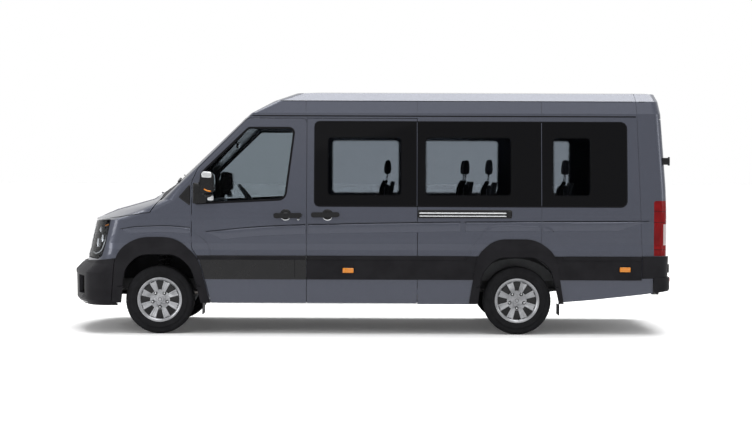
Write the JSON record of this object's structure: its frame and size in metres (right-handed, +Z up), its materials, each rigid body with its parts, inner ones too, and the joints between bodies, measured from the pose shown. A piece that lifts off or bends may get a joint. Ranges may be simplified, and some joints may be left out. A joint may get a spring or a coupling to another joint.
{
  "type": "minibus",
  "caption": "Long, high-roofed minibus with hinged cab doors, twin rear doors, bonnet, steered front wheels and a full passenger cabin.",
  "frame": {"origin": "on the ground, midway along and across the vehicle", "axes": "+X towards the rear, +Y towards the vehicle's right side, +Z up"},
  "size_m": [6.4, 2.48, 2.5499],
  "materials": {
    "body_paint": "gloss metallic dark blue-grey",
    "dark_glass": "gloss dark tinted",
    "windscreen_glass": "gloss lightly tinted",
    "black_cladding": "grained matte",
    "gloss_black": "gloss",
    "headlamp_lens": "clear lens",
    "tail_lamp_lens": "gloss red",
    "wheel_silver": "satin silver paint",
    "tyre_rubber": "matte",
    "chassis_black": "satin black",
    "cast_metal": "rough",
    "engine_metal": "cast",
    "exhaust_steel": "dull",
    "floor_panel": "satin",
    "interior_plastic": "grained",
    "seat_fabric": "woven dark grey",
    "seat_frame": "satin black"
  },
  "bodies": {
    "body": {"roof": "body_paint", "windscreen": "windscreen_glass", "cowl": "black_cladding", "wing_left": "body_paint", "wing_right": "body_paint", "headlamps": "headlamp_lens", "body_side_left": "body_paint", "body_side_right": "body_paint", "side_glass_left": "dark_glass", "side_glass_right": "dark_glass", "sliding_door": "body_paint", "tail_lamps": "tail_lamp_lens", "pillars": "body_paint", "cladding_left": "black_cladding", "cladding_right": "black_cladding", "grille": "gloss_black", "front_bumper": "black_cladding", "rear_bumper": "black_cladding", "front_suspension": "chassis_black", "rear_axle_beam": "chassis_black", "leaf_spring_left": "chassis_black", "leaf_spring_right": "chassis_black", "frame_rails": "chassis_black", "floor": "floor_panel", "wheel_liners": "black_cladding", "engine": "engine_metal", "engine_mounts": "chassis_black", "radiator": "chassis_black", "fuel_tank": "chassis_black", "exhaust": "exhaust_steel", "dashboard": "interior_plastic", "steering_wheel": "interior_plastic", "slide_rail": "gloss_black", "front_seats": "seat_fabric", "left_seats": "seat_fabric", "right_seats": "seat_fabric", "seat_legs": "seat_frame"},
    "bonnet": {"bonnet": "body_paint"},
    "front_door_left": {"front_door_left": "body_paint", "front_door_glass_left": "windscreen_glass", "door_fittings_left": "gloss_black"},
    "rear_door_left": {"rear_door_left": "body_paint", "rear_door_glass_left": "dark_glass"},
    "steering_left": {"knuckle_left": "cast_metal"},
    "road_wheel_front_left": {"wheel_front_left": "wheel_silver", "tyre_front_left": "tyre_rubber"},
    "road_wheel_rear_left": {"wheel_rear_left": "wheel_silver", "tyre_rear_left": "tyre_rubber"},
    "front_door_right": {"front_door_right": "body_paint", "front_door_glass_right": "windscreen_glass", "door_fittings_right": "gloss_black"},
    "rear_door_right": {"rear_door_right": "body_paint", "rear_door_glass_right": "dark_glass"},
    "steering_right": {"knuckle_right": "cast_metal"},
    "road_wheel_front_right": {"wheel_front_right": "wheel_silver", "tyre_front_right": "tyre_rubber"},
    "road_wheel_rear_right": {"wheel_rear_right": "wheel_silver", "tyre_rear_right": "tyre_rubber"}
  },
  "joints": [
    {"name": "bonnet_hinge", "type": "hinge", "parent": "body", "child": "bonnet", "pos_m": [-2.188, 0, 1.512], "axis": [0, 1, 0], "range_deg": [0, 55]},
    {"name": "front_door_left_hinge", "type": "hinge", "parent": "body", "child": "front_door_left", "pos_m": [-1.85, -1.037, 1.2], "axis": [0, 0, -1], "range_deg": [0, 68]},
    {"name": "rear_door_left_hinge", "type": "hinge", "parent": "body", "child": "rear_door_left", "pos_m": [3.16, -0.908, 1.4], "axis": [0, 0, -1], "range_deg": [0, 180]},
    {"name": "steering_left_pivot", "type": "hinge", "parent": "body", "child": "steering_left", "pos_m": [-2.19, -0.79, 0.356], "axis": [0, 0, 1], "range_deg": [-33, 33]},
    {"name": "front_door_right_hinge", "type": "hinge", "parent": "body", "child": "front_door_right", "pos_m": [-1.85, 1.037, 1.2], "axis": [0, 0, 1], "range_deg": [0, 68]},
    {"name": "rear_door_right_hinge", "type": "hinge", "parent": "body", "child": "rear_door_right", "pos_m": [3.16, 0.908, 1.4], "axis": [0, 0, 1], "range_deg": [0, 180]},
    {"name": "steering_right_pivot", "type": "hinge", "parent": "body", "child": "steering_right", "pos_m": [-2.19, 0.79, 0.356], "axis": [0, 0, 1], "range_deg": [-33, 33]},
    {"name": "wheel_front_left_spin", "type": "hinge", "parent": "steering_left", "child": "road_wheel_front_left", "pos_m": [-2.19, -0.885, 0.356], "axis": [0, 1, 0], "continuous": true},
    {"name": "wheel_front_right_spin", "type": "hinge", "parent": "steering_right", "child": "road_wheel_front_right", "pos_m": [-2.19, 0.885, 0.356], "axis": [0, 1, 0], "continuous": true},
    {"name": "wheel_rear_left_spin", "type": "hinge", "parent": "body", "child": "road_wheel_rear_left", "pos_m": [1.56, -0.885, 0.356], "axis": [0, 1, 0], "continuous": true},
    {"name": "wheel_rear_right_spin", "type": "hinge", "parent": "body", "child": "road_wheel_rear_right", "pos_m": [1.56, 0.885, 0.356], "axis": [0, 1, 0], "continuous": true}
  ],
  "couplings": [
    {"joint": "steering_right_pivot", "follows": "steering_left_pivot", "ratio": 1}
  ]
}
